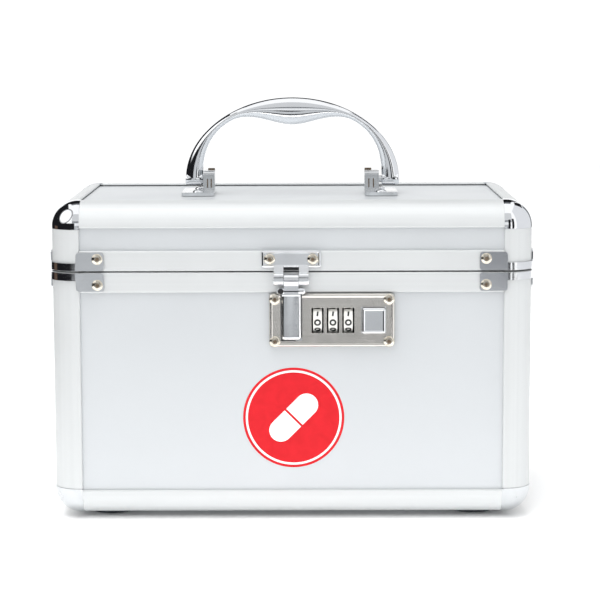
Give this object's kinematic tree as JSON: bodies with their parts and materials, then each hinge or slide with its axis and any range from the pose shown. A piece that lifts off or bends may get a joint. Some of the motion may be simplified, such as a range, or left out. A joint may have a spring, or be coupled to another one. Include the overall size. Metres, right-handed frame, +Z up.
{
  "type": "medication lock box",
  "caption": "Small aluminium-framed box with a hinged lid, a folding bow handle, and a combination lock whose hasp keeps the lid shut.",
  "frame": {"origin": "under the middle of the whole box, on the surface that its feet stand on", "axes": "+X along the width to the right as seen from the front, +Y from the lock towards the hinge, +Z up"},
  "size_m": [0.2752, 0.1662, 0.2362],
  "materials": {
    "aluminium": "satin anodised",
    "panel": "silver laminate on board",
    "chrome": "polished",
    "plated_steel": "bright nickel plate",
    "nickel": "warm satin nickel",
    "dial": "white with black digits",
    "rubber": "matte dark grey"
  },
  "bodies": {
    "base": {"base_panel_front": "panel", "base_panel_rear": "panel", "base_panel_left": "panel", "base_panel_right": "panel", "base_panel_bottom": "panel", "base_bottom_rail_front": "aluminium", "base_bottom_rail_rear": "aluminium", "base_bottom_rail_left": "aluminium", "base_bottom_rail_right": "aluminium", "base_corner_post_front_left": "aluminium", "base_corner_post_front_right": "aluminium", "base_corner_post_rear_left": "aluminium", "base_corner_post_rear_right": "aluminium", "base_rim_frame": "aluminium", "base_ball_corner_front_left": "chrome", "base_ball_corner_front_right": "chrome", "base_ball_corner_rear_left": "chrome", "base_ball_corner_rear_right": "chrome", "base_corner_bracket_front_left": "plated_steel", "base_corner_bracket_front_right": "plated_steel", "base_corner_bracket_rear_left": "plated_steel", "base_corner_bracket_rear_right": "plated_steel", "foot_front_left": "rubber", "foot_front_right": "rubber", "foot_rear_left": "rubber", "foot_rear_right": "rubber", "hinge_leaf_base": "plated_steel", "hinge_pin": "plated_steel", "lock_face_plate": "nickel", "lock_housing": "plated_steel"},
    "lid": {"lid_panel_top": "panel", "lid_panel_front": "panel", "lid_panel_rear": "panel", "lid_panel_left": "panel", "lid_panel_right": "panel", "lid_top_rail_front": "aluminium", "lid_top_rail_rear": "aluminium", "lid_top_rail_left": "aluminium", "lid_top_rail_right": "aluminium", "lid_rim_frame": "aluminium", "lid_ball_corner_front_left": "chrome", "lid_ball_corner_front_right": "chrome", "lid_ball_corner_rear_left": "chrome", "lid_ball_corner_rear_right": "chrome", "lid_corner_bracket_front_left": "plated_steel", "lid_corner_bracket_front_right": "plated_steel", "lid_corner_bracket_rear_left": "plated_steel", "lid_corner_bracket_rear_right": "plated_steel", "hinge_leaf_lid": "plated_steel", "handle_bracket_left": "chrome", "handle_bracket_right": "chrome", "hasp_catch_plate": "plated_steel", "hasp_pin": "plated_steel"},
    "handle": {"handle_bow": "chrome"},
    "hasp": {"hasp": "plated_steel"},
    "dial_1": {"lock_dial_1": "dial"},
    "dial_2": {"lock_dial_2": "dial"},
    "dial_3": {"lock_dial_3": "dial"},
    "button": {"release_button": "chrome"},
    "bolt": {"lock_bolt": "plated_steel"}
  },
  "joints": [
    {"name": "lid_hinge", "type": "hinge", "parent": "base", "child": "lid", "pos_m": [0, 0.0809, 0.142], "axis": [-1, 0, 0], "range_deg": [0, 105]},
    {"name": "handle_swing", "type": "hinge", "parent": "lid", "child": "handle", "pos_m": [0, 0.0009, 0.188], "axis": [1, 0, 0], "range_deg": [-85, 85]},
    {"name": "hasp_hinge", "type": "hinge", "parent": "lid", "child": "hasp", "pos_m": [-0.0003, -0.0803, 0.1375], "axis": [-1, 0, 0], "range_deg": [0, 140]},
    {"name": "dial_1_turn", "type": "hinge", "parent": "base", "child": "dial_1", "pos_m": [0.0143, -0.0713, 0.11475], "axis": [1, 0, 0], "continuous": true},
    {"name": "dial_2_turn", "type": "hinge", "parent": "base", "child": "dial_2", "pos_m": [0.0229, -0.0713, 0.11475], "axis": [1, 0, 0], "continuous": true},
    {"name": "dial_3_turn", "type": "hinge", "parent": "base", "child": "dial_3", "pos_m": [0.0315, -0.0713, 0.11475], "axis": [1, 0, 0], "continuous": true},
    {"name": "button_press", "type": "slide", "parent": "base", "child": "button", "axis": [0, 1, 0], "range_m": [0, 0.0022], "stiffness_N_per_m": 300, "springref_m": -0.002},
    {"name": "bolt_slide", "type": "slide", "parent": "base", "child": "bolt", "axis": [1, 0, 0], "range_m": [0, 0.0022]}
  ],
  "couplings": [
    {"joint": "bolt_slide", "follows": "button_press", "ratio": 1}
  ]
}
